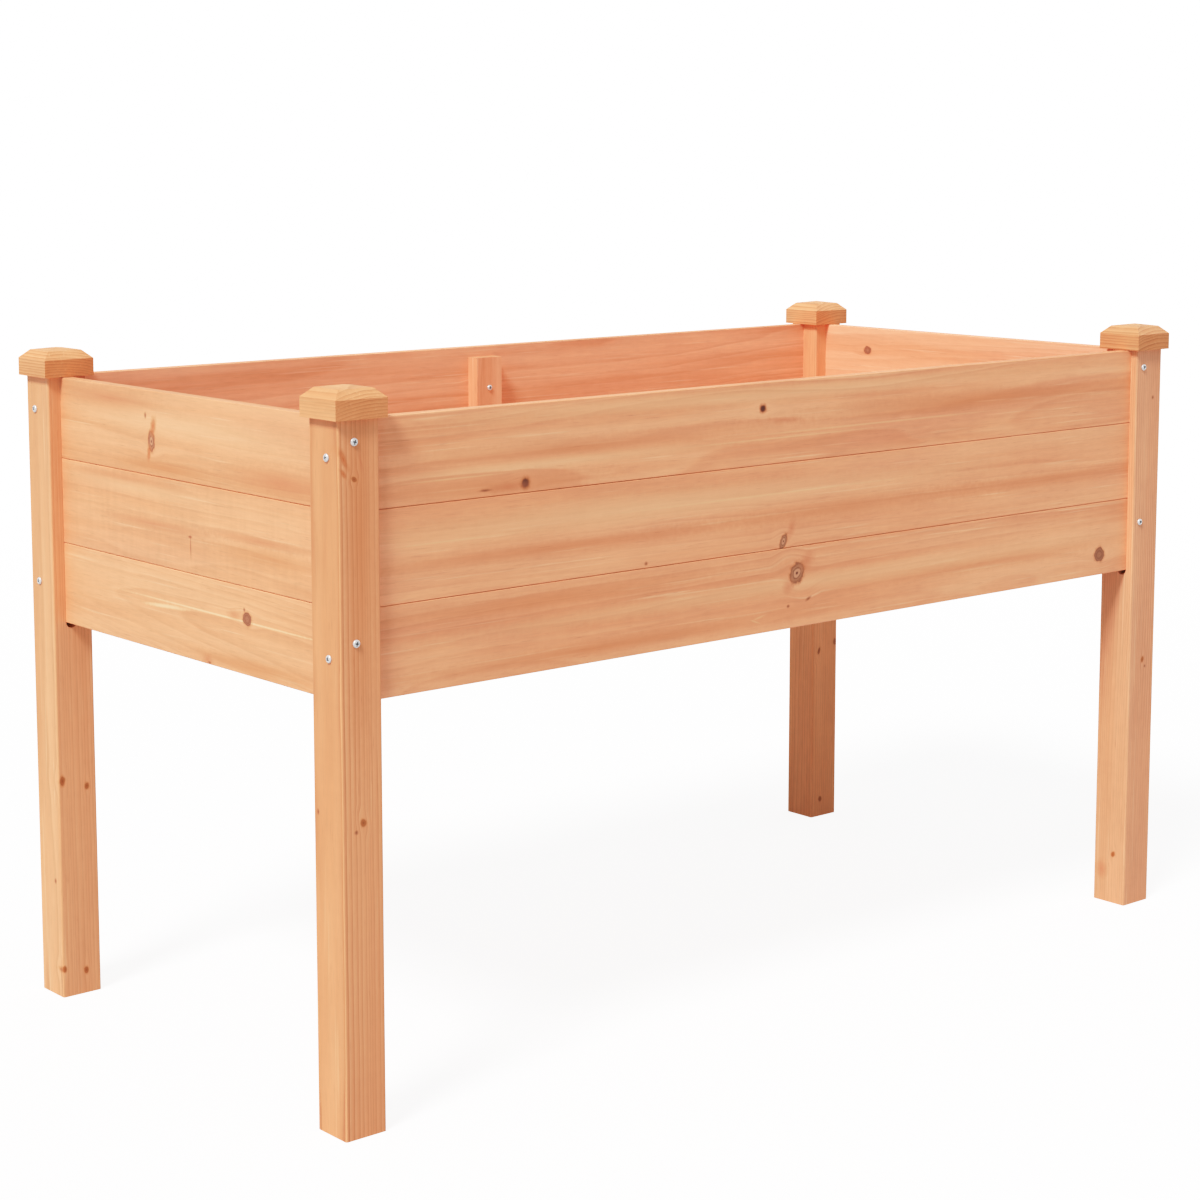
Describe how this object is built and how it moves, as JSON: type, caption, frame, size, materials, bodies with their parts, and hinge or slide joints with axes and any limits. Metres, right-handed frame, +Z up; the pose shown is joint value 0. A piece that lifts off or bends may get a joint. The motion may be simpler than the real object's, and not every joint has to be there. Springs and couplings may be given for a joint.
{
  "type": "raised planter",
  "caption": "Rectangular raised planter of light wood: capped square legs, tongue-and-groove board walls and a slatted floor that drains.",
  "frame": {"origin": "on the ground under the middle of the planter", "axes": "+X along the long walls, -Y the front long wall, +Z up"},
  "size_m": [1.232, 0.606, 0.7237],
  "materials": {
    "leg_wood": "planed, clear-coated softwood, matt",
    "cap_wood": "planed, clear-coated softwood, matt",
    "board_wood": "planed, clear-coated softwood with knots, matt",
    "slat_wood": "planed, bare softwood",
    "frame_wood": "planed, bare softwood",
    "screw_zinc": "zinc-plated, satin"
  },
  "bodies": {
    "root": {"leg_front_left": "leg_wood", "leg_front_right": "leg_wood", "leg_back_left": "leg_wood", "leg_back_right": "leg_wood", "cap_front_left": "cap_wood", "cap_front_right": "cap_wood", "cap_back_left": "cap_wood", "cap_back_right": "cap_wood", "front_board_bottom": "board_wood", "front_board_middle": "board_wood", "front_board_top": "board_wood", "back_board_bottom": "board_wood", "back_board_middle": "board_wood", "back_board_top": "board_wood", "left_board_bottom": "board_wood", "left_board_middle": "board_wood", "left_board_top": "board_wood", "right_board_bottom": "board_wood", "right_board_middle": "board_wood", "right_board_top": "board_wood", "front_ledger": "frame_wood", "back_ledger": "frame_wood", "left_ledger": "frame_wood", "right_ledger": "frame_wood", "floor_slat_01": "slat_wood", "floor_slat_02": "slat_wood", "floor_slat_03": "slat_wood", "floor_slat_04": "slat_wood", "floor_slat_05": "slat_wood", "floor_slat_06": "slat_wood", "floor_slat_07": "slat_wood", "floor_slat_08": "slat_wood", "floor_slat_09": "slat_wood", "floor_slat_10": "slat_wood", "floor_slat_11": "slat_wood", "front_batten": "frame_wood", "back_batten": "frame_wood", "cap_dowels": "frame_wood", "leg_screws": "screw_zinc", "ledger_screws": "screw_zinc", "slat_screws": "screw_zinc", "batten_screws": "screw_zinc"}
  },
  "joints": []
}
